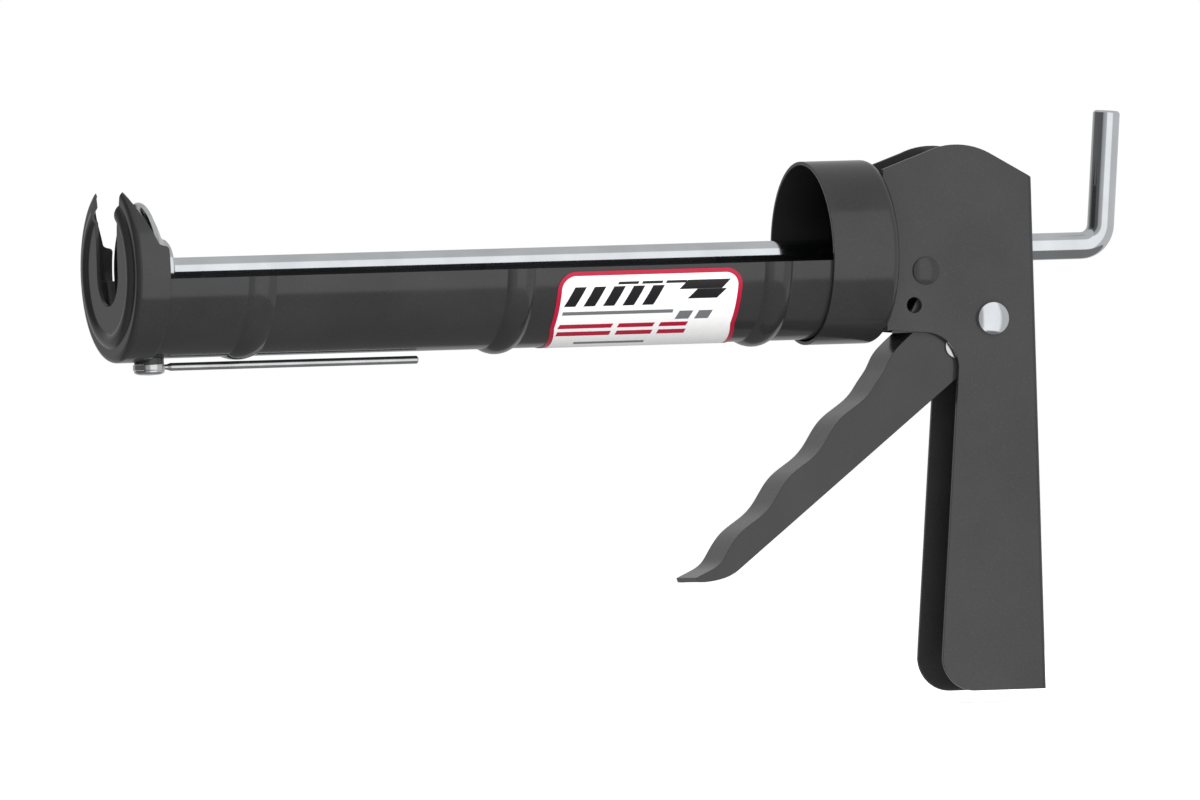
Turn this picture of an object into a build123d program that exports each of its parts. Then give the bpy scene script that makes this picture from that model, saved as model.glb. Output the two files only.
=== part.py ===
from build123d import *
import os
from math import asin, cos, pi, radians, sin, sqrt, tan

# A half-barrel caulking gun for 10 oz (300 ml) cartridges, driven by a toothed push rod.
#
# Millimetres. The rod's axis is the X axis: the nozzle end is at low X, the handle at high X.
# Z is up, and Y runs across the gun. The origin is on the rod's axis, in the plane of the front cap's rim.

os.makedirs("parts", exist_ok=True)

# ---- Fits and stock -------------------------------------------------------------------------------------
frame_sheet = 1.2
cap_sheet = 1.0
cradle_sheet = 0.9
running_gap = 0.06
side_gap = 0.05
rod_radius = 7.94 / 2
rod_bore = rod_radius + 0.09

# ---- Barrel ---------------------------------------------------------------------------------------------
cap_radius = 26.55
cap_depth = 10.1
cap_corner = 1.95
cap_plateau_radius = 17.5
cap_plateau_rise = 0.35
cap_bead_radius = 19.9
cap_bead_rise = 1.3
cap_bead_outer_radius = 22.4
slot_half_width = 9.2
slot_bottom_z = -9.9
slot_flare_z = 9.0
slot_mouth_half_width = 12.1
slot_mouth_z = 24.6

cradle_radius = 25.5
cradle_edge_z = -2.3
cradle_front_x = 1.8
bead_positions = (39.0, 119.5, 200.0)
bead_heights = (1.0, 1.6, 1.6)
bead_half_width = 4.35

collar_radius = 27.07
collar_sheet = 1.0
collar_front_x = 216.8
collar_rear_x = 238.1
collar_corner = 2.8

label_x = (131.0, 188.8)
label_skew = 3.0
label_skew_z = -20.0
label_top_z = -3.6
label_corner = 5.5
label_thickness = 0.2

# ---- Frame and handle -----------------------------------------------------------------------------------
frame_width = 22.1
frame_front_x = 238.7
frame_rear_x = 285.8
frame_bend = 1.7
handle_bottom_z = -130.5
frame_inner_y = frame_width / 2 - frame_sheet
bulkhead_rear_x = 240.3
cutter_hole = (247.4, -16.25)
cutter_hole_radius = 2.35
pivot = (271.8, -20.8)
pivot_pin_radius = 2.5
catch_pivot = (251.3, -6.2)
catch_pin_radius = 1.2

# ---- Trigger --------------------------------------------------------------------------------------------
trigger_half_width = 8.6
trigger_travel = 30.0
finger_pitch = 23.1
finger_depth = 0.8
pivot_lobe = 7.07
pawl_arm = 14.0
pawl_pin_radius = 1.25
stop_pin = (260.9, -28.8)

# ---- Rod, plunger and needle ----------------------------------------------------------------------------
journal_radius = 3.0
journal_front_x = 11.2
shoulder_x = 17.65
hook_x = 310.6
hook_lean = 5.0
hook_top_z = 39.65
hook_bend = 6.5
tooth_pitch = 4.0
tooth_length = 3.4
tooth_depth = 1.25
tooth_first_x = 26.0
tooth_last_x = 280.0
plunger_radius = 20.4
plunger_sheet = 1.2
needle_x = 11.75
needle_z = -28.0
needle_radius = 1.18
needle_tip_x = 95.3
needle_eye_radius = 4.8
needle_head_radius = 4.5
needle_shank_radius = 1.5


def save(part, name):
    """Label a finished piece and write it as its own STEP file."""
    part.label = name
    export_step(part, f"parts/{name}.step")


def across(x, z, y):
    """A plane square to Y at height y, whose normal points away from the gun's middle."""
    side = 1 if y >= 0 else -1
    return Plane(origin=(x, y, z), x_dir=(1, 0, 0), z_dir=(0, side, 0))


# ---- Front cap: a stamped cup with a raised ring and an open-topped nozzle slot ------------------------
with BuildPart() as front_cap:
    with BuildSketch(Plane.XZ):
        with BuildLine():
            plateau = Line((-cap_plateau_rise, 0), (-cap_plateau_rise, cap_plateau_radius))
            ring = ThreePointArc(
                plateau @ 1, (-cap_bead_rise, cap_bead_radius), (0, cap_bead_outer_radius)
            )
            rim = Line(ring @ 1, (0, cap_radius - cap_corner))
            corner = JernArc(start=rim @ 1, tangent=(0, 1), radius=cap_corner, arc_size=-90)
            Line(corner @ 1, (cap_depth, cap_radius))
            offset(amount=cap_sheet, side=Side.RIGHT)
        make_face()
    revolve(axis=Axis.X)
    with BuildSketch(Plane.YZ.offset(-5)):
        with BuildLine():
            base = RadiusArc(
                (0, slot_bottom_z), (slot_half_width, slot_bottom_z + slot_half_width), -slot_half_width
            )
            wall = Line(base @ 1, (slot_half_width, slot_flare_z))
            flare = Spline(
                wall @ 1, (slot_mouth_half_width, slot_mouth_z), tangents=[(0, 1), (0.2, 1)]
            )
            Line(flare @ 1, (slot_mouth_half_width, 2 * cap_radius))
            Line((slot_mouth_half_width, 2 * cap_radius), (0, 2 * cap_radius))
            mirror(about=Plane.YZ)
        make_face()
    extrude(amount=5 + cap_depth + 1, mode=Mode.SUBTRACT)
    with BuildSketch(Plane.XZ):
        with BuildLine():
            brow = Spline((0.9, 23.9), (2.4, 19.2), (4.6, 14.3), (6.9, 8.6))
            step = Spline(
                brow @ 1, (7.9, 7.6), (9.4, 7.2), (cap_depth + 0.1, 5.6), tangents=[brow % 1, (0.1, -1)]
            )
            Polyline(
                step @ 1,
                (cap_depth + 1, 5.6),
                (cap_depth + 1, 2 * cap_radius),
                (0.9, 2 * cap_radius),
                brow @ 0,
            )
        make_face()
    extrude(amount=2 * cap_radius, both=True, mode=Mode.SUBTRACT)
save(front_cap.part, "front_cap")

# ---- Cradle: a half-round trough with three pressed beads -----------------------------------------------
# Its rear end swells to seat inside the collar.
collar_bore = collar_radius - collar_sheet
with BuildPart() as cradle:
    with BuildSketch(Plane.XZ):
        with BuildLine():
            reach = (cradle_front_x, cradle_radius)
            for centre, height in zip(bead_positions, bead_heights):
                flat = Line(reach, (centre - bead_half_width, cradle_radius))
                bead = ThreePointArc(
                    flat @ 1, (centre, cradle_radius + height), (centre + bead_half_width, cradle_radius)
                )
                reach = bead @ 1
            seat_x = collar_front_x + 4
            run = Line(reach, (collar_front_x + 1, cradle_radius))
            swell = Line(run @ 1, (seat_x, collar_bore - 0.02))
            Line(swell @ 1, (seat_x + 9, collar_bore - 0.02))
            offset(amount=cradle_sheet, side=Side.RIGHT)
        make_face()
    revolve(axis=Axis.X)
    split(bisect_by=Plane.XY.offset(cradle_edge_z), keep=Keep.BOTTOM)
    with Locations((needle_x, 0, -cradle_radius)):
        Hole(radius=1.55, depth=5)
save(cradle.part, "cradle")

# ---- Rear collar: a drawn cup, open to the front --------------------------------------------------------
collar_rivets = [(y, z) for y in (-6.0, 6.0) for z in (-13.0, 13.0)]
bushing_radius = 6.0
with BuildPart() as rear_collar:
    with BuildSketch(Plane.XZ):
        with BuildLine():
            wall = Line((collar_front_x, collar_radius), (collar_rear_x - collar_corner, collar_radius))
            corner = JernArc(start=wall @ 1, tangent=(1, 0), radius=collar_corner, arc_size=-90)
            Line(corner @ 1, (collar_rear_x, bushing_radius + 0.01))
            offset(amount=collar_sheet, side=Side.RIGHT)
        make_face()
    revolve(axis=Axis.X)
    with BuildSketch(Plane.YZ.offset(collar_rear_x - 3)):
        with Locations(*collar_rivets):
            Circle(1.52)
    extrude(amount=5, mode=Mode.SUBTRACT)
save(rear_collar.part, "rear_collar")

# ---- Bulkhead: the plate that ties the collar to the frame's two sides ----------------------------------
with BuildPart() as bulkhead:
    with BuildSketch(Plane.YZ.offset(collar_rear_x + 0.02)):
        RectangleRounded(2 * (frame_inner_y - 0.02), 43.0, 1.5)
        Circle(bushing_radius + 0.01, mode=Mode.SUBTRACT)
        with Locations(*collar_rivets):
            Circle(1.52, mode=Mode.SUBTRACT)
    extrude(amount=bulkhead_rear_x - collar_rear_x - 0.02)
save(bulkhead.part, "bulkhead")

for index, (y, z) in enumerate(collar_rivets, start=1):
    head_front_x = collar_rear_x - collar_sheet - 0.01
    head_rear_x = bulkhead_rear_x + 0.01
    with BuildPart() as collar_rivet:
        with BuildSketch(Plane(origin=(0, y, z), x_dir=(1, 0, 0), z_dir=(0, -1, 0))):
            with BuildLine():
                Polyline(
                    (head_front_x - 1.2, 0),
                    (head_front_x - 1.2, 2.0),
                    (head_front_x, 2.7),
                    (head_front_x, 1.5),
                    (head_rear_x, 1.5),
                    (head_rear_x, 2.5),
                    (head_rear_x + 0.8, 2.1),
                    (head_rear_x + 0.8, 0),
                    close=True,
                )
            make_face()
        revolve(axis=Axis(origin=(0, y, z), direction=(1, 0, 0)))
    save(collar_rivet.part, f"collar_rivet_{index}")

# ---- Frame and handle: one sheet folded at the rear, open to the front ----------------------------------
with BuildPart() as frame:
    with BuildSketch(Plane.XY.offset(handle_bottom_z - 1)):
        with BuildLine():
            Polyline(
                (frame_front_x - 5, frame_width / 2),
                (frame_rear_x, frame_width / 2),
                (frame_rear_x, -frame_width / 2),
                (frame_front_x - 5, -frame_width / 2),
            )
            fillet(vertices().group_by(Axis.X)[-1], frame_bend)
            offset(amount=frame_sheet, side=Side.RIGHT)
        make_face()
    extrude(amount=170)
    with BuildSketch(Plane.XZ):
        with BuildLine():
            brow = Line((frame_front_x, 24.05), (252.6, 28.9))
            crown = ThreePointArc(brow @ 1, (262.6, 30.8), (272.4, 28.1))
            back = Polyline(
                crown @ 1,
                (frame_rear_x + 1, 19.9),
                (frame_rear_x + 1, handle_bottom_z),
                (262.8, handle_bottom_z),
            )
            toe = ThreePointArc(back @ 1, (256.0, -127.5), (253.15, -120.8))
            grip = Line(toe @ 1, (260.9, -35.0))
            throat = ThreePointArc(grip @ 1, (257.9, -27.5), (250.5, -24.35))
            chin = Line(throat @ 1, (frame_front_x, -23.4))
            Line(chin @ 1, brow @ 0)
        make_face()
    extrude(amount=frame_width, both=True, mode=Mode.INTERSECT)
    with BuildSketch(Plane.XZ):
        with Locations(pivot):
            Circle(pivot_pin_radius + 0.01)
        with Locations(catch_pivot):
            Circle(catch_pin_radius + 0.01)
        with Locations(cutter_hole):
            Circle(cutter_hole_radius)
    extrude(amount=frame_width, both=True, mode=Mode.SUBTRACT)
    with BuildSketch(Plane.YZ.offset(frame_rear_x - 6)):
        Circle(rod_bore + 0.56)
    extrude(amount=10, mode=Mode.SUBTRACT)
save(frame.part, "frame")

# ---- Rod bushings: one through the collar and the bulkhead, one through the frame's back -----------------
with BuildPart() as front_bushing:
    flange_x = collar_rear_x - collar_sheet - 0.01
    end_x = bulkhead_rear_x + 1.0
    with BuildSketch(Plane.XZ):
        with BuildLine():
            Polyline(
                (flange_x - 1.5, rod_bore),
                (flange_x - 1.5, bushing_radius + 2.0),
                (flange_x - 1.0, bushing_radius + 2.5),
                (flange_x, bushing_radius + 2.5),
                (flange_x, bushing_radius),
                (end_x, bushing_radius),
                (end_x, rod_bore),
                close=True,
            )
        make_face()
    revolve(axis=Axis.X)
save(front_bushing.part, "front_bushing")

with BuildPart() as rear_bushing:
    inner_x = frame_rear_x - frame_sheet - 0.01
    lip_x = frame_rear_x + 0.7
    lip_radius = rod_bore + 0.55
    with BuildSketch(Plane.XZ):
        with BuildLine():
            Polyline(
                (inner_x - 1.5, rod_bore),
                (inner_x - 1.5, 7.0),
                (inner_x, 7.0),
                (inner_x, lip_radius),
                (lip_x, lip_radius),
                (lip_x, rod_bore),
                close=True,
            )
        make_face()
    revolve(axis=Axis.X)
save(rear_bushing.part, "rear_bushing")


# ---- Cross rivets ---------------------------------------------------------------------------------------
def domed_rivet(centre, shank_radius, head_radius, head_height, half_length, edge_share=0.35):
    """A rivet across the gun at centre (x, z), turned as one profile with a domed head on each end."""
    x, z = centre
    seat = half_length + 0.01
    top = seat + head_height
    edge = seat + edge_share * head_height
    dome_radius = (head_radius**2 + (top - edge) ** 2) / (2 * (top - edge))
    half_angle = asin(head_radius / dome_radius) / 2
    shoulder = (dome_radius * sin(half_angle), top - dome_radius * (1 - cos(half_angle)))
    with BuildPart() as rivet:
        with BuildSketch(Plane(origin=(x, 0, z), x_dir=(1, 0, 0), z_dir=(0, 0, 1))):
            with BuildLine():
                Polyline(
                    (head_radius, -edge),
                    (head_radius, -seat),
                    (shank_radius, -seat),
                    (shank_radius, seat),
                    (head_radius, seat),
                    (head_radius, edge),
                )
                ThreePointArc((head_radius, edge), shoulder, (0, top))
                Line((0, top), (0, -top))
                ThreePointArc((0, -top), (shoulder[0], -shoulder[1]), (head_radius, -edge))
            make_face()
        revolve(axis=Axis(origin=(x, 0, z), direction=(0, 1, 0)))
    return rivet


save(domed_rivet(pivot, pivot_pin_radius, 4.8, 2.4, frame_width / 2, edge_share=0.6).part, "pivot_rivet")
save(domed_rivet(catch_pivot, catch_pin_radius, 4.05, 1.5, frame_width / 2).part, "catch_rivet")


def tube_across(centre, inner, outer, start_y, end_y):
    """A plain tube along Y between two heights, round centre (x, z)."""
    x, z = centre
    with BuildPart() as tube:
        with BuildSketch(Plane(origin=(x, start_y, z), x_dir=(1, 0, 0), z_dir=(0, 1, 0))):
            Circle(outer)
            Circle(inner, mode=Mode.SUBTRACT)
        extrude(amount=end_y - start_y)
    return tube


# ---- Pivot sleeve and washers: they centre the trigger between the frame's sides --------------------------
ear_inner_y = trigger_half_width - frame_sheet
sleeve = tube_across(pivot, pivot_pin_radius + 0.01, 3.7, side_gap - ear_inner_y, ear_inner_y - side_gap)
save(sleeve.part, "pivot_sleeve")
for name, side in (("pivot_washer_near", -1), ("pivot_washer_far", 1)):
    edges_y = sorted((side * (trigger_half_width + side_gap), side * (frame_inner_y - 0.01)))
    save(tube_across(pivot, pivot_pin_radius + 0.01, 5.2, *edges_y).part, name)


# ---- Trigger: a channel with two ears, a rippled finger web and a pawl lug above the pivot ---------------
web_top = (241.0, -30.5)
web_angle = radians(45.25)
web_length = 90.4
web_setback = 1.76
web_head = -9.0
first_finger = 14.3
finger_steps = 23
along = (-cos(web_angle), -sin(web_angle))
outward = (-sin(web_angle), cos(web_angle))


def on_web(distance, lift):
    """A point at a distance down the finger web's chord, lifted square to it."""
    return (
        web_top[0] + distance * along[0] + lift * outward[0],
        web_top[1] + distance * along[1] + lift * outward[1],
    )


def ripple(distance):
    """How far the web stands off its chord there: one hollow for each finger."""
    return -web_setback - finger_depth * cos(2 * pi * (distance - first_finger) / finger_pitch)


def web_line(inset):
    """The web's front line, from its head between the frame's sides to its tip, set back by inset."""
    steps = [first_finger - 5 + finger_pitch / 7 * count for count in range(finger_steps)]
    points = [on_web(web_head, -0.3 - inset), on_web(web_head / 2, 0.1 - inset)]
    points += [on_web(0.2, -inset), on_web(4.6, -1.25 - inset)]
    points += [on_web(step, ripple(step) - inset) for step in steps]
    points += [on_web(web_length - 3.8, -1.35 - inset), on_web(web_length, 0.1 - inset)]
    return points


pawl_pin = (
    pivot[0] + pawl_arm * sin(radians(trigger_travel / 2)),
    pivot[1] + pawl_arm * cos(radians(trigger_travel / 2)),
)
rear_direction = (0.790, 0.613)
rear_length = 108.2
rear_tangent = (pivot[0] + pivot_lobe * rear_direction[1], pivot[1] - pivot_lobe * rear_direction[0])
heel = (
    rear_tangent[0] - rear_length * rear_direction[0],
    rear_tangent[1] - rear_length * rear_direction[1],
)
with BuildPart() as trigger:
    with BuildSketch(Plane.XZ):
        with BuildLine():
            front = Spline(*web_line(0))
            tip = Line(front @ 1, on_web(web_length + 0.6, -1.1))
            sole = Spline(tip @ 1, (182.4, -95.75), heel, tangents=[(1, -0.12), rear_direction])
            rear = Line(heel, rear_tangent)
            lobe = ThreePointArc(rear_tangent, (pivot[0] + pivot_lobe, pivot[1]), (278.2, -17.9))
            Polyline(
                lobe @ 1,
                (279.2, -7.9),
                (277.6, -4.0),
                (273.4, -3.9),
                (266.0, -12.0),
                (250.6, -12.4),
                (246.2, -19.9),
                front @ 0,
            )
        make_face()
    extrude(amount=trigger_half_width, both=True)
    with BuildSketch(Plane.XZ):
        with BuildLine():
            inside = Spline(*web_line(frame_sheet))
            Polyline(
                inside @ 1,
                (176.0, -110.0),
                (300.0, -110.0),
                (300.0, 10.0),
                (236.0, 10.0),
                on_web(web_head - 1.0, -frame_sheet),
                inside @ 0,
            )
        make_face()
    extrude(amount=ear_inner_y, both=True, mode=Mode.SUBTRACT)
    with BuildSketch(Plane.XZ):
        with Locations(pivot):
            Circle(pivot_pin_radius + running_gap)
        with Locations(pawl_pin):
            Circle(pawl_pin_radius + 0.01)
        with Locations(stop_pin):
            Circle(1.51)
    extrude(amount=trigger_half_width + 1, both=True, mode=Mode.SUBTRACT)
save(trigger.part, "trigger")


def headed_pin(centre, radius, head_radius, head_height, half_length):
    """A pin across the trigger with a flat head outside each ear."""
    x, z = centre
    with BuildPart() as pin:
        with BuildSketch(across(x, z, half_length + head_height)):
            Circle(radius)
        extrude(amount=-2 * (half_length + head_height))
        for side in (-1, 1):
            with BuildSketch(across(x, z, side * (half_length + 0.01))):
                Circle(head_radius)
            extrude(amount=head_height, taper=12)
    return pin


save(headed_pin(stop_pin, 1.5, 3.5, 0.8, trigger_half_width).part, "trigger_stop_pin")
save(headed_pin(pawl_pin, pawl_pin_radius, 2.2, 0.8, trigger_half_width).part, "pawl_pin")

# ---- Drive pawl: pushes the rod's teeth forward ---------------------------------------------------------
# At mid stroke its pin rises, so its top stands that much lower at rest.
pawl_rise = pawl_arm * (1 - cos(radians(trigger_travel / 2)))
pawl_top_z = -rod_radius - 0.35 - pawl_rise
pawl_boss = pawl_top_z - pawl_pin[1] - 0.05
with BuildPart() as drive_pawl:
    with BuildSketch(Plane.XZ):
        with Locations(pawl_pin):
            Circle(pawl_boss)
        with BuildLine():
            Polyline(
                (pawl_pin[0], pawl_pin[1] - pawl_boss),
                (pawl_pin[0] - 7.4, pawl_top_z - 2.6),
                (pawl_pin[0] - 9.4, pawl_top_z),
                (pawl_pin[0] - 7.6, pawl_top_z),
                (pawl_pin[0] - 6.2, pawl_top_z - 0.9),
                (pawl_pin[0], pawl_pin[1] + pawl_boss - 0.4),
                close=True,
            )
        make_face()
        with Locations(pawl_pin):
            Circle(pawl_pin_radius + running_gap, mode=Mode.SUBTRACT)
    extrude(amount=2.5, both=True)
save(drive_pawl.part, "drive_pawl")

# ---- Catch: a stamped pawl that keeps the rod from springing back --------------------------------------
# Its cheeks pass beside the rod, and its front wall stands under the teeth.
catch_cheek_y = rod_radius + 0.5
catch_sheet = 1.2
catch_top_z = -rod_radius - 0.32
catch_front_x = 243.0
with BuildPart() as catch_pawl:
    with BuildSketch(Plane.XZ):
        with Locations(catch_pivot):
            Circle(2.9)
        with BuildLine():
            Polyline(
                (catch_pivot[0], catch_pivot[1] + 2.9),
                (catch_pivot[0] - 4.0, catch_top_z - 0.4),
                (catch_front_x + 0.2, catch_top_z),
                (catch_front_x, catch_top_z - 4.4),
                (catch_pivot[0], catch_pivot[1] - 2.9),
                close=True,
            )
        make_face()
        with Locations(catch_pivot):
            Circle(catch_pin_radius + running_gap, mode=Mode.SUBTRACT)
    extrude(amount=catch_cheek_y + catch_sheet, both=True)
    with BuildSketch(Plane.XZ):
        with BuildLine():
            Polyline(
                (catch_front_x + 1.5, 0),
                (catch_front_x + 1.5, catch_top_z - 3.2),
                (catch_pivot[0] - 2.6, catch_pivot[1] - 5.0),
                (catch_pivot[0] + 4.0, catch_pivot[1] - 5.0),
                (catch_pivot[0] + 4.0, 0),
                close=True,
            )
        make_face()
    extrude(amount=catch_cheek_y, both=True, mode=Mode.SUBTRACT)
save(catch_pawl.part, "catch_pawl")


# ---- Springs: close-wound coils, each one turned profile of touching turns, with a straight leg -----------
def torsion_coil(centre, wire, mean_radius, start_y, turns, leg_end, leg_y):
    """A torsion spring's coil round centre (x, z), from start_y along +Y, with a leg to leg_end (x, z)."""
    x, z = centre
    pitch = 0.96 * wire
    leg_x, leg_z = leg_end
    run = sqrt((leg_x - x) ** 2 + (leg_z - z) ** 2)
    turn = radians(90) - asin(mean_radius / run)
    unit = ((leg_x - x) / run, (leg_z - z) / run)
    contact = (
        x + mean_radius * (unit[0] * cos(turn) + unit[1] * sin(turn)),
        z + mean_radius * (unit[1] * cos(turn) - unit[0] * sin(turn)),
    )
    end = Vector(leg_x, leg_y, leg_z)
    run_in = (end - Vector(contact[0], leg_y, contact[1])).normalized() * wire
    start = Vector(contact[0], leg_y, contact[1]) - run_in
    leg = end - start
    with BuildPart() as coil:
        with BuildSketch(Plane(origin=(x, 0, z), x_dir=(1, 0, 0), z_dir=(0, 0, 1))):
            for count in range(turns):
                with Locations((mean_radius, start_y + wire / 2 + count * pitch)):
                    Circle(wire / 2)
        revolve(axis=Axis(origin=(x, 0, z), direction=(0, 1, 0)))
        with BuildSketch(Plane(origin=start, z_dir=leg)):
            Circle(0.44 * wire)
        extrude(amount=leg.length)
    return coil


spring_wire = 1.2
save(torsion_coil(pivot, spring_wire, 4.6, -4.0, 7, (283.2, -52.0), -3.4).part, "trigger_spring")
save(torsion_coil(catch_pivot, 0.7, 2.0, 6.0, 5, (248.6, -11.8), 8.4).part, "catch_spring")
save(tube_across(catch_pivot, catch_pin_radius + 0.01, 2.3, 0.03 - frame_inner_y, -6.0).part, "catch_spacer")
save(torsion_coil(pawl_pin, 0.6, 1.75, 2.8, 6, (268.6, -13.2), 5.6).part, "pawl_spring")

arm_start = Vector(269.6, 2.6, -28.0)
arm_end = Vector(240.0, 2.6, -45.6)
with BuildPart() as spring_arm:
    with BuildSketch(Plane(origin=arm_start, z_dir=arm_end - arm_start)):
        Circle(spring_wire / 2)
    extrude(amount=(arm_end - arm_start).length)
    with BuildSketch(Plane.XZ.offset(-2.6)):
        with Locations((arm_end.X, arm_end.Z)):
            Circle(spring_wire / 2)
    extrude(amount=-4.2)
save(spring_arm.part, "trigger_spring_arm")

# ---- Plunger: a stamped dish, its backing hub and the clip that holds the rod in it ----------------------
dish_rear_x = 15.8
skirt_points = [(13.9, 12.4), (12.1, 16.2), (9.7, plunger_radius)]
skirt_step = Vector(-0.9, -0.43) * plunger_sheet
with BuildPart() as plunger_dish:
    with BuildSketch(Plane.XZ):
        with BuildLine():
            disc = Line((dish_rear_x, journal_radius + running_gap), (dish_rear_x, 8.6))
            skirt = Spline(disc @ 1, *skirt_points, tangents=[(0, 1), (-0.45, 1)])
            disc_front_x = dish_rear_x - plunger_sheet
            inner_points = [Vector(*point) + skirt_step for point in reversed(skirt_points)]
            lining = Spline(*inner_points, (disc_front_x, 8.2), tangents=[(0.45, -1), (0, -1)])
            Line(skirt @ 1, lining @ 0)
            Polyline(lining @ 1, (disc_front_x, journal_radius + running_gap), disc @ 0)
        make_face()
    revolve(axis=Axis.X)
save(plunger_dish.part, "plunger_dish")

with BuildPart() as plunger_hub:
    with BuildSketch(Plane.XZ):
        with BuildLine():
            Polyline(
                (dish_rear_x + 0.01, journal_radius + running_gap),
                (dish_rear_x + 0.01, 9.4),
                (shoulder_x - 0.55, 9.4),
                (shoulder_x - 0.05, 8.9),
                (shoulder_x - 0.05, journal_radius + running_gap),
                close=True,
            )
        make_face()
    revolve(axis=Axis.X)
save(plunger_hub.part, "plunger_hub")

# ---- Push rod: journal, toothed underside and the turned-up hook ----------------------------------------
groove_front_x = dish_rear_x - plunger_sheet - 1.3
clip_thickness = 1.1
with BuildPart() as push_rod:
    with BuildLine(Plane.XZ):
        hook_end_x = hook_x + hook_top_z * tan(radians(hook_lean))
        FilletPolyline((shoulder_x, 0), (hook_x, 0), (hook_end_x, hook_top_z), radius=hook_bend)
    with BuildSketch(Plane.YZ.offset(shoulder_x)):
        Circle(rod_radius)
    sweep()
    chamfer(edges().sort_by(Axis.Z)[-1], 0.6)
    with BuildSketch(Plane.XZ):
        with BuildLine():
            Polyline(
                (journal_front_x, 0),
                (journal_front_x, journal_radius - 0.5),
                (journal_front_x + 0.5, journal_radius),
                (groove_front_x, journal_radius),
                (groove_front_x, journal_radius - 0.6),
                (groove_front_x + clip_thickness + 0.1, journal_radius - 0.6),
                (groove_front_x + clip_thickness + 0.1, journal_radius),
                (shoulder_x, journal_radius),
                (shoulder_x, 0),
                close=True,
            )
        make_face()
    revolve(axis=Axis.X)
    with BuildSketch(Plane.XZ):
        for count in range(int((tooth_last_x - tooth_first_x) / tooth_pitch)):
            x = tooth_first_x + count * tooth_pitch
            with BuildLine():
                Polyline(
                    (x, tooth_depth - rod_radius),
                    (x + tooth_length, -rod_radius),
                    (x + tooth_length, -rod_radius - 1),
                    (x, -rod_radius - 1),
                    close=True,
                )
            make_face()
    extrude(amount=rod_radius, both=True, mode=Mode.SUBTRACT)
save(push_rod.part, "push_rod")

with BuildPart() as rod_clip:
    with BuildSketch(Plane.YZ.offset(groove_front_x + 0.05)):
        Circle(5.2)
        Circle(journal_radius - 0.58, mode=Mode.SUBTRACT)
        with Locations((0, -4.0)):
            Rectangle(3.4, 5.0, mode=Mode.SUBTRACT)
    extrude(amount=clip_thickness)
save(rod_clip.part, "rod_clip")

# ---- Seal-piercing needle and its pivot under the cap ---------------------------------------------------
needle_axis = Axis(origin=(needle_x, 0, 0), direction=(0, 0, 1))
eye_thickness = 1.6
with BuildPart() as needle:
    with BuildSketch(Plane.XY.offset(needle_z - eye_thickness / 2)):
        with Locations((needle_x, 0)):
            Circle(needle_eye_radius)
            Circle(needle_shank_radius + running_gap, mode=Mode.SUBTRACT)
    extrude(amount=eye_thickness)
    neck_x = needle_x + 5.4
    tip_chamfer = 0.35
    with BuildSketch(Plane.XZ):
        with BuildLine():
            Polyline(
                (needle_x + 3.6, needle_z),
                (needle_x + 3.6, needle_z + eye_thickness / 2),
                (neck_x, needle_z + eye_thickness / 2),
                (neck_x + 1.2, needle_z + needle_radius),
                (needle_tip_x - tip_chamfer, needle_z + needle_radius),
                (needle_tip_x, needle_z + needle_radius - tip_chamfer),
                (needle_tip_x, needle_z),
                close=True,
            )
        make_face()
    revolve(axis=Axis(origin=(0, 0, needle_z), direction=(1, 0, 0)))
save(needle.part, "needle")

eye_top_z = needle_z + eye_thickness / 2 + side_gap
eye_bottom_z = needle_z - eye_thickness / 2 - side_gap
with BuildPart() as needle_washer:
    with BuildSketch(Plane.XY.offset(eye_top_z)):
        with Locations((needle_x, 0)):
            Circle(4.4)
            Circle(needle_shank_radius + 0.01, mode=Mode.SUBTRACT)
    extrude(amount=3)
    with BuildSketch(Plane.YZ.offset(-1)):
        Circle(cap_radius + 0.02)
    extrude(amount=1 + cap_depth + 0.1, mode=Mode.SUBTRACT)
    with BuildSketch(Plane.YZ.offset(cap_depth)):
        Circle(cradle_radius + 0.02)
    extrude(amount=20, mode=Mode.SUBTRACT)
save(needle_washer.part, "needle_washer")

with BuildPart() as needle_rivet:
    with BuildSketch(Plane(origin=(needle_x, 0, 0), x_dir=(1, 0, 0), z_dir=(0, -1, 0))):
        inner_z = cradle_sheet - cradle_radius + 0.3
        with BuildLine():
            Polyline(
                (0, inner_z + 1.2),
                (2.2, inner_z + 1.2),
                (3.0, inner_z + 0.5),
                (3.0, inner_z),
                (needle_shank_radius, inner_z),
                (needle_shank_radius, eye_bottom_z),
                (needle_head_radius, eye_bottom_z),
                (needle_head_radius, eye_bottom_z - 0.6),
                (needle_head_radius - 0.5, eye_bottom_z - 1.05),
                (needle_head_radius - 1.7, eye_bottom_z - 1.35),
                (0, eye_bottom_z - 1.5),
                close=True,
            )
        make_face()
    revolve(axis=needle_axis)
save(needle_rivet.part, "needle_rivet")

# ---- Label: a printed band round the trough, a little skewed where it passes underneath ------------------
label_inner = cradle_radius + 0.02
below = -cradle_radius - 2
with BuildPart() as label:
    with BuildSketch(Plane.YZ.offset(label_x[0] - 1)):
        Circle(label_inner + label_thickness)
        Circle(label_inner, mode=Mode.SUBTRACT)
    extrude(amount=label_x[1] - label_x[0] + label_skew + 2)
    with BuildSketch(Plane.XZ):
        with BuildLine():
            Polyline(
                (label_x[0], label_top_z),
                (label_x[1], label_top_z),
                (label_x[1], label_skew_z),
                (label_x[1] + label_skew, below),
                (label_x[0] + label_skew, below),
                (label_x[0], label_skew_z),
                close=True,
            )
        make_face()
        fillet(vertices().group_by(Axis.Y)[-1], label_corner)
    extrude(amount=cradle_radius + 2, both=True, mode=Mode.INTERSECT)
save(label.part, "label")
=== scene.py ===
import math

import bpy
from mathutils import Matrix, Vector


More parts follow.
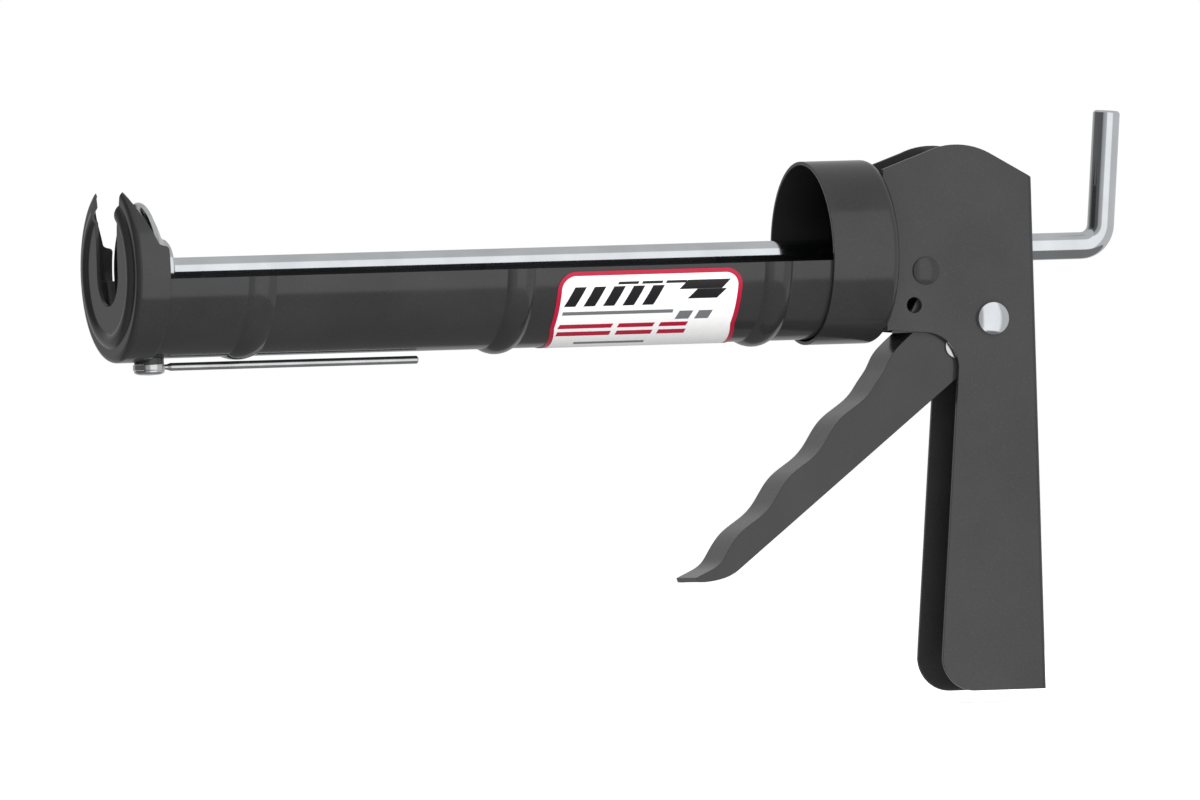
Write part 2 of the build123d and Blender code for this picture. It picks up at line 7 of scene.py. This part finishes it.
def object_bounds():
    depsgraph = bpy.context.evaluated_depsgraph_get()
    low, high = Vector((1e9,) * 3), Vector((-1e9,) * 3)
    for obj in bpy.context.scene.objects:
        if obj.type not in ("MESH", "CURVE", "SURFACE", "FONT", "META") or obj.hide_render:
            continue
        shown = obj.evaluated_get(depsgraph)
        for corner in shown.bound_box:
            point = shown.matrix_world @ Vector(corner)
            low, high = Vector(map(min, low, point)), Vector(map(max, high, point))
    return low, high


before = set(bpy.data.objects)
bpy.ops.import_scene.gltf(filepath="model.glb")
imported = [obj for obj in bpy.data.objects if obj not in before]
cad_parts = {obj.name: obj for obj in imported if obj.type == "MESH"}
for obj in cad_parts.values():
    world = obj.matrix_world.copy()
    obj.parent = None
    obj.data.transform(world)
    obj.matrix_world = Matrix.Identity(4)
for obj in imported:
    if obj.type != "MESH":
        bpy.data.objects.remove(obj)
cad_low, cad_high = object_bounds()
scene = bpy.context.scene
MM = 0.001

# ---- Dimensions repeated from the CAD part, in millimetres ---------------------------------------
CRADLE_RADIUS = 25.5
LABEL_RADIUS = 25.72
LABEL_CENTRE_X = 159.9
LABEL_HALF_LENGTH = 28.9
LABEL_TOP_Z = -3.6
LABEL_CORNER = 5.5
LABEL_SKEW = 3.0
LABEL_SKEW_Z = -20.0
LABEL_BORDER = 1.35
PRINT_EDGE = 0.04  # half the soft width of a printed edge

# Finish settings shared by several materials.
NOISE_ROUGHNESS = 0.55
BEVEL_SAMPLES = 6
GRAIN_DEPTH = 0.02 * MM


def linear(*levels):
    """An sRGB colour of one or three 0-255 levels, as the linear RGBA that shader sockets take."""
    if len(levels) == 1:
        levels = levels * 3
    channels = [level / 255 for level in levels]
    return tuple(c / 12.92 if c <= 0.04045 else ((c + 0.055) / 1.055) ** 2.4 for c in channels) + (1.0,)


# ---- Node materials ------------------------------------------------------------------------------
class Shader:
    """A material's node tree, with short ways to add the nodes that these looks use."""

    def __init__(self, name):
        self.material = bpy.data.materials.new(name)
        self.material.use_nodes = True
        self.tree = self.material.node_tree
        self.tree.nodes.clear()
        self.output = self.tree.nodes.new("ShaderNodeOutputMaterial")
        self.surface = self.tree.nodes.new("ShaderNodeBsdfPrincipled")
        self.tree.links.new(self.surface.outputs["BSDF"], self.output.inputs["Surface"])
        self.place = self.tree.nodes.new("ShaderNodeTexCoord").outputs["Object"]

    def feed(self, socket, value):
        """Link an output to a socket, or set the socket to a plain value."""
        if isinstance(value, bpy.types.NodeSocket):
            self.tree.links.new(value, socket)
        else:
            socket.default_value = value

    def set(self, **values):
        """Set the Principled shader's sockets, named with underscores for spaces."""
        for name, value in values.items():
            self.feed(self.surface.inputs[name.replace("_", " ")], value)

    def math(self, operation, first, second=0.0, third=0.0):
        node = self.tree.nodes.new("ShaderNodeMath")
        node.operation = operation
        for socket, value in zip(node.inputs, (first, second, third)):
            self.feed(socket, value)
        return node.outputs[0]

    def split(self, vector):
        node = self.tree.nodes.new("ShaderNodeSeparateXYZ")
        self.feed(node.inputs[0], vector)
        return node.outputs

    def stretch(self, scale):
        """The object's coordinates, scaled on each axis."""
        node = self.tree.nodes.new("ShaderNodeMapping")
        self.feed(node.inputs["Vector"], self.place)
        node.inputs["Scale"].default_value = scale
        return node.outputs[0]

    def noise(self, scale, detail=3.0, vector=None):
        node = self.tree.nodes.new("ShaderNodeTexNoise")
        self.feed(node.inputs["Vector"], self.place if vector is None else vector)
        node.inputs["Scale"].default_value = scale
        node.inputs["Detail"].default_value = detail
        node.inputs["Roughness"].default_value = NOISE_ROUGHNESS
        return node.outputs["Fac"]

    def ramp(self, factor, low, high, start=0.0, end=1.0):
        """Factor mapped from (low, high) to (start, end), clamped."""
        node = self.tree.nodes.new("ShaderNodeMapRange")
        for socket, value in zip(node.inputs, (factor, low, high, start, end)):
            self.feed(socket, value)
        return node.outputs[0]

    def blend(self, factor, first, second):
        """A colour between two others."""
        node = self.tree.nodes.new("ShaderNodeMix")
        node.data_type = "RGBA"
        self.feed(node.inputs["Factor"], factor)
        self.feed(node.inputs["A"], first)
        self.feed(node.inputs["B"], second)
        return node.outputs["Result"]

    def bump(self, height, strength, distance, normal=None):
        node = self.tree.nodes.new("ShaderNodeBump")
        node.inputs["Strength"].default_value = strength
        node.inputs["Distance"].default_value = distance
        self.feed(node.inputs["Height"], height)
        if normal is not None:
            self.feed(node.inputs["Normal"], normal)
        return node.outputs[0]

    def rounded(self, radius):
        """The normal with the sheet's edges softened by a small radius."""
        node = self.tree.nodes.new("ShaderNodeBevel")
        node.samples = BEVEL_SAMPLES
        node.inputs["Radius"].default_value = radius
        return node.outputs[0]


def charcoal_paint():
    """Gloss stove enamel over pressed steel: faint orange peel, soft mottling and fine dust specks."""
    s = Shader("charcoal_paint")
    peel = s.noise(650, detail=2.0)
    mottle = s.noise(45, detail=4.0)
    speck = s.noise(4200, detail=1.0)
    base = s.blend(s.ramp(mottle, 0.35, 0.65), linear(46, 46, 47), linear(51, 51, 52))
    grain = s.blend(s.ramp(speck, 0.66, 0.76), base, linear(72, 72, 74))
    s.set(
        Base_Color=grain,
        Roughness=s.ramp(mottle, 0.3, 0.7, 0.10, 0.17),
        IOR=1.5,
        Normal=s.bump(peel, 0.05, 0.03 * MM, s.rounded(0.3 * MM)),
    )
    return s.material


def rod_chrome():
    """Plated cold-drawn rod: bright, with fine draw lines along it and light handling marks."""
    s = Shader("rod_chrome")
    drawn = s.noise(1.0, detail=4.0, vector=s.stretch((60, 5200, 5200)))
    cloud = s.noise(90, detail=3.0)
    s.set(
        Base_Color=s.blend(s.ramp(cloud, 0.35, 0.7), linear(217, 221, 225), linear(229, 233, 237)),
        Metallic=1.0,
        Roughness=s.ramp(drawn, 0.3, 0.75, 0.045, 0.10),
        Normal=s.bump(drawn, 0.02, GRAIN_DEPTH, s.rounded(0.25 * MM)),
    )
    return s.material


def bright_zinc():
    """Zinc-plated pressings and rivets: bright, slightly clouded, with a fine tumbled grain."""
    s = Shader("bright_zinc")
    cloud = s.noise(160, detail=4.0)
    grain = s.noise(2600, detail=2.0)
    s.set(
        Base_Color=s.blend(s.ramp(cloud, 0.3, 0.7), linear(206, 207, 209), linear(226, 227, 229)),
        Metallic=1.0,
        Roughness=s.ramp(cloud, 0.3, 0.7, 0.08, 0.15),
        Normal=s.bump(grain, 0.03, GRAIN_DEPTH, s.rounded(0.3 * MM)),
    )
    return s.material


def spring_steel():
    """Oil-tempered spring wire: dark, with soft lengthwise streaks."""
    s = Shader("spring_steel")
    streak = s.noise(420, detail=4.0)
    s.set(
        Base_Color=s.blend(s.ramp(streak, 0.35, 0.65), linear(112, 112, 116), linear(146, 146, 150)),
        Metallic=1.0,
        Roughness=s.ramp(streak, 0.3, 0.7, 0.30, 0.42),
        Normal=s.bump(streak, 0.08, GRAIN_DEPTH),
    )
    return s.material


def pressed_steel():
    """Plain pressed steel: a fine rolled grain with oily darker patches."""
    s = Shader("pressed_steel")
    rolled = s.noise(1.0, detail=3.0, vector=s.stretch((300, 3000, 3000)))
    oil = s.noise(110, detail=4.0)
    s.set(
        Base_Color=s.blend(s.ramp(oil, 0.4, 0.7), linear(176, 176, 179), linear(140, 139, 140)),
        Metallic=1.0,
        Roughness=s.ramp(oil, 0.35, 0.7, 0.28, 0.42),
        Normal=s.bump(rolled, 0.08, GRAIN_DEPTH, s.rounded(0.25 * MM)),
    )
    return s.material


def printed_label():
    """A glossy printed band: plain blocks and stripes in a crimson border, with no lettering."""
    s = Shader("printed_label")
    x, y, z = s.split(s.place)
    x = s.math("MULTIPLY", x, 1 / MM)
    down = s.math("MULTIPLY", z, -1 / MM)
    skew = s.ramp(down, -LABEL_SKEW_Z, CRADLE_RADIUS + 2, 0.0, LABEL_SKEW)
    x = s.math("SUBTRACT", x, skew)
    side = s.math("MULTIPLY", s.math("ABSOLUTE", y), 1 / MM)
    angle = s.math("ARCTAN2", down, side)
    arc = s.math("MULTIPLY", angle, LABEL_RADIUS)
    top_arc = LABEL_RADIUS * math.asin(-LABEL_TOP_Z / LABEL_RADIUS)

    # The border starts at a fixed distance from the line that joins the rounded corners' centres.
    along = s.math("ABSOLUTE", s.math("SUBTRACT", x, LABEL_CENTRE_X))
    across = s.math("SUBTRACT", top_arc + LABEL_CORNER, arc)
    along = s.math("MAXIMUM", s.math("SUBTRACT", along, LABEL_HALF_LENGTH - LABEL_CORNER), 0.0)
    across = s.math("MAXIMUM", across, 0.0)
    reach = s.math("SQRT", s.math("ADD", s.math("POWER", along, 2.0), s.math("POWER", across, 2.0)))
    border_start = LABEL_CORNER - LABEL_BORDER
    border = s.ramp(reach, border_start - PRINT_EDGE, border_start + PRINT_EDGE)

    def block(start_x, end_x, start_z, end_z, lean=0.0):
        """A printed block between two heights, its ends leaning by so much per millimetre down."""
        start, end = (LABEL_RADIUS * math.asin(-level / LABEL_RADIUS) for level in (start_z, end_z))
        shifted = s.math("MULTIPLY_ADD", s.math("SUBTRACT", arc, start), lean, x)
        edges = (
            s.ramp(shifted, start_x - PRINT_EDGE, start_x + PRINT_EDGE),
            s.ramp(shifted, end_x + PRINT_EDGE, end_x - PRINT_EDGE),
            s.ramp(arc, start - PRINT_EDGE, start + PRINT_EDGE),
            s.ramp(arc, end + PRINT_EDGE, end - PRINT_EDGE),
        )
        inside = edges[0]
        for edge in edges[1:]:
            inside = s.math("MULTIPLY", inside, edge)
        return inside

    def ink(first, second):
        """Two near colours, clouded into each other."""
        return s.blend(s.ramp(s.noise(240, detail=2.0), 0.3, 0.7), first, second)

    white = ink(linear(246), linear(250, 250, 249))
    crimson = ink(linear(172, 20, 54), linear(178, 23, 58))
    black = linear(26, 26, 28)
    grey = linear(112, 113, 116)
    # Blocks are given as start X, end X, top Z, bottom Z and lean, in millimetres.
    bars = [(136.4 + 6.1 * count, 140.0 + 6.1 * count, -8.2, -13.9, 0.45) for count in range(5)]
    bars += [(150.0 + 7.5 * count, 156.4 + 7.5 * count, -6.9, -7.7, 0.45) for count in range(3)]
    bars += [(171.6, 185.0, -6.9, -9.6, 0.9), (174.8, 184.0, -9.6, -12.4, 0.9)]
    artwork = [(black, block(*bar)) for bar in bars]
    rules = [(133.6, 168.2, -15.4, -16.4)]
    rules += [(170.3 + 6.1 * count, 174.6 + 6.1 * count, -15.9, -18.3, 0.3) for count in range(2)]
    artwork += [(grey, block(*rule)) for rule in rules]
    for start_x, end_x in ((133.8, 150.6), (152.4, 163.6), (165.4, 174.0)):
        artwork += [
            (crimson, block(start_x, end_x, -19.1, -20.3, 0.25)),
            (crimson, block(start_x - 0.4, end_x - 0.4, -21.2, -22.4, 0.25)),
        ]
    artwork += [(grey, block(139.4, 161.4, -24.2, -24.8)), (crimson, border)]
    colour = white
    for tone, shape in artwork:
        colour = s.blend(shape, colour, tone)
    wear = s.noise(900, detail=3.0)
    s.set(
        Base_Color=colour,
        Roughness=s.ramp(wear, 0.3, 0.7, 0.26, 0.36),
        Normal=s.bump(s.noise(500, detail=1.0), 0.02, GRAIN_DEPTH),
    )
    return s.material


# ---- Looks for the CAD nodes, by the record's material slots -------------------------------------
LOOKS = {
    "charcoal_paint": charcoal_paint(),
    "rod_chrome": rod_chrome(),
    "bright_zinc": bright_zinc(),
    "spring_steel": spring_steel(),
    "pressed_steel": pressed_steel(),
    "printed_label": printed_label(),
}


def slot_of(node):
    """The record's material slot that a CAD node was packed with."""
    name = node.material_slots[0].material.name
    return name.split(".")[0]


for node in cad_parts.values():
    look = LOOKS[slot_of(node)]
    for material_slot in node.material_slots:
        material_slot.material = look

# ---- Floor ---------------------------------------------------------------------------------------
FLOOR_RADIUS = 12.0
FLOOR_SIDES = 64
FLOOR_GLOW = 0.66
TRIGGER_ROOM = 3.5 * MM  # the squeezed trigger's tip reaches 2.4 mm below the handle
floor_z = cad_low.z - TRIGGER_ROOM
floor_mesh = bpy.data.meshes.new("floor")
angles = [math.tau * side / FLOOR_SIDES for side in range(FLOOR_SIDES)]
rim = [(FLOOR_RADIUS * math.cos(angle), FLOOR_RADIUS * math.sin(angle), floor_z) for angle in angles]
floor_mesh.from_pydata(rim, [], [tuple(range(FLOOR_SIDES))])
floor = bpy.data.objects.new("floor", floor_mesh)
scene.collection.objects.link(floor)
floor_look = Shader("pale_floor")
floor_look.set(
    Base_Color=linear(236),
    Roughness=0.9,
    Emission_Color=(1.0, 1.0, 1.0, 1.0),
    Emission_Strength=FLOOR_GLOW,
)
floor_look.material.cycles.emission_sampling = "NONE"
floor_mesh.materials.append(floor_look.material)
floor.visible_diffuse = False
floor.visible_glossy = False
floor.visible_shadow = False

# ---- Soft studio light ---------------------------------------------------------------------------
# The world is a ring of panels round the object, given as (bearing in degrees, level), with an even
# ceiling above them and a dim level below. Bearing 0 is where the picture is taken from, 90 its right.
CAMERA_AZIMUTH = -20.0
PANELS = (
    (-180, 0.50), (-150, 0.48), (-125, 0.36), (-112, 0.13), (-30, 0.10), (-20, 0.36),
    (6, 0.50), (12, 1.02), (56, 1.02), (64, 0.58), (140, 0.60), (180, 0.50),
)
PANEL_LOW = -0.54
PANEL_HIGH = 0.74
CEILING = 0.55
BELOW = 0.20
LOW_SOFTNESS = 0.03
HIGH_SOFTNESS = 0.04
BACKDROP = 1.0

world = bpy.data.worlds.new("studio")
scene.world = world
world.use_nodes = True
tree = world.node_tree
tree.nodes.clear()


def world_math(operation, first, second=0.0, third=0.0):
    node = tree.nodes.new("ShaderNodeMath")
    node.operation = operation
    for socket, value in zip(node.inputs, (first, second, third)):
        if isinstance(value, bpy.types.NodeSocket):
            tree.links.new(value, socket)
        else:
            socket.default_value = value
    return node.outputs[0]


def world_ramp(factor, stops):
    """A grey level along a ramp of (position, level) stops."""
    node = tree.nodes.new("ShaderNodeValToRGB")
    tree.links.new(factor, node.inputs["Fac"])
    elements = node.color_ramp.elements
    while len(elements) < len(stops):
        elements.new(0.5)
    for element, (position, level) in zip(elements, stops):
        element.position = position
        element.color = (level, level, level, 1.0)
    return node.outputs["Color"]


split = tree.nodes.new("ShaderNodeSeparateXYZ")
tree.links.new(tree.nodes.new("ShaderNodeTexCoord").outputs["Generated"], split.inputs[0])
away = world_math("MULTIPLY", split.outputs["Y"], -1.0)
bearing = world_math("ARCTAN2", split.outputs["X"], away)
bearing = world_math("SUBTRACT", bearing, math.radians(CAMERA_AZIMUTH))
turn = world_math("WRAP", world_math("DIVIDE", bearing, math.tau), 0.5, -0.5)
stops = [((degrees + 180) / 360, level) for degrees, level in PANELS]
ring = world_ramp(world_math("ADD", turn, 0.5), stops)


def step_up(edge, softness):
    """0 below a height (-1 to 1) and 1 above it."""
    node = tree.nodes.new("ShaderNodeMapRange")
    node.interpolation_type = "SMOOTHSTEP"
    tree.links.new(split.outputs["Z"], node.inputs["Value"])
    node.inputs["From Min"].default_value = edge - softness
    node.inputs["From Max"].default_value = edge + softness
    return node.outputs[0]


def world_blend(factor, first, second):
    node = tree.nodes.new("ShaderNodeMix")
    node.data_type = "RGBA"
    for name, value in (("Factor", factor), ("A", first), ("B", second)):
        socket = node.inputs[name]
        if isinstance(value, bpy.types.NodeSocket):
            tree.links.new(value, socket)
        else:
            socket.default_value = value
    return node.outputs["Result"]


def grey(level):
    return (level, level, level, 1.0)


light = world_blend(step_up(PANEL_LOW, LOW_SOFTNESS), grey(BELOW), ring)
light = world_blend(step_up(PANEL_HIGH, HIGH_SOFTNESS), light, grey(CEILING))
straight = tree.nodes.new("ShaderNodeLightPath").outputs["Is Camera Ray"]
seen = world_blend(straight, light, grey(BACKDROP))
background = tree.nodes.new("ShaderNodeBackground")
tree.links.new(seen, background.inputs["Color"])
world_output = tree.nodes.new("ShaderNodeOutputWorld")
tree.links.new(background.outputs[0], world_output.inputs["Surface"])


OBJECT_MIDDLE = Vector((0.155, 0.0, -0.03))


def soft_lamp(name, place, size, power):
    """A large square lamp aimed at the object, for soft fill only: the panels make the reflections."""
    light = bpy.data.lights.new(name, "AREA")
    light.shape = "SQUARE"
    light.size = size
    light.energy = power
    lamp = bpy.data.objects.new(name, light)
    lamp.location = place
    lamp.rotation_mode = "QUATERNION"
    lamp.rotation_quaternion = (OBJECT_MIDDLE - lamp.location).to_track_quat("-Z", "Y")
    lamp.visible_glossy = False
    scene.collection.objects.link(lamp)


soft_lamp("key", (0.1, -1.5, 0.35), 1.2, 15.0)
soft_lamp("low_front", (-0.2, -1.3, -0.9), 1.0, 12.0)
soft_lamp("back", (0.6, 1.5, 0.8), 1.2, 18.0)

# ---- Camera --------------------------------------------------------------------------------------
CAMERA_ROLL = -1.71
CAMERA_LENS = 1000.0
SENSOR_WIDTH = 36.0
CAMERA_REACH = 60.0
CAMERA_TARGET = Vector((0.1519, 0.0, -0.04145))
FRAME_WIDTH = 0.3532  # metres across the picture, at the target
camera_data = bpy.data.cameras.new("camera")
camera_data.sensor_width = SENSOR_WIDTH
camera_data.lens = CAMERA_LENS
camera_data.clip_end = CAMERA_REACH
camera = bpy.data.objects.new("camera", camera_data)
azimuth = math.radians(CAMERA_AZIMUTH)
back = Vector((math.sin(azimuth), -math.cos(azimuth), 0.0))
aim = (-back).to_track_quat("-Z", "Y").to_matrix().to_4x4()
aim = aim @ Matrix.Rotation(math.radians(CAMERA_ROLL), 4, "Z")
camera.rotation_mode = "QUATERNION"
camera.rotation_quaternion = aim.to_quaternion()
camera.location = CAMERA_TARGET + back * (FRAME_WIDTH * CAMERA_LENS / SENSOR_WIDTH)
scene.collection.objects.link(camera)
scene.camera = camera

scene.view_settings.view_transform = "Standard"
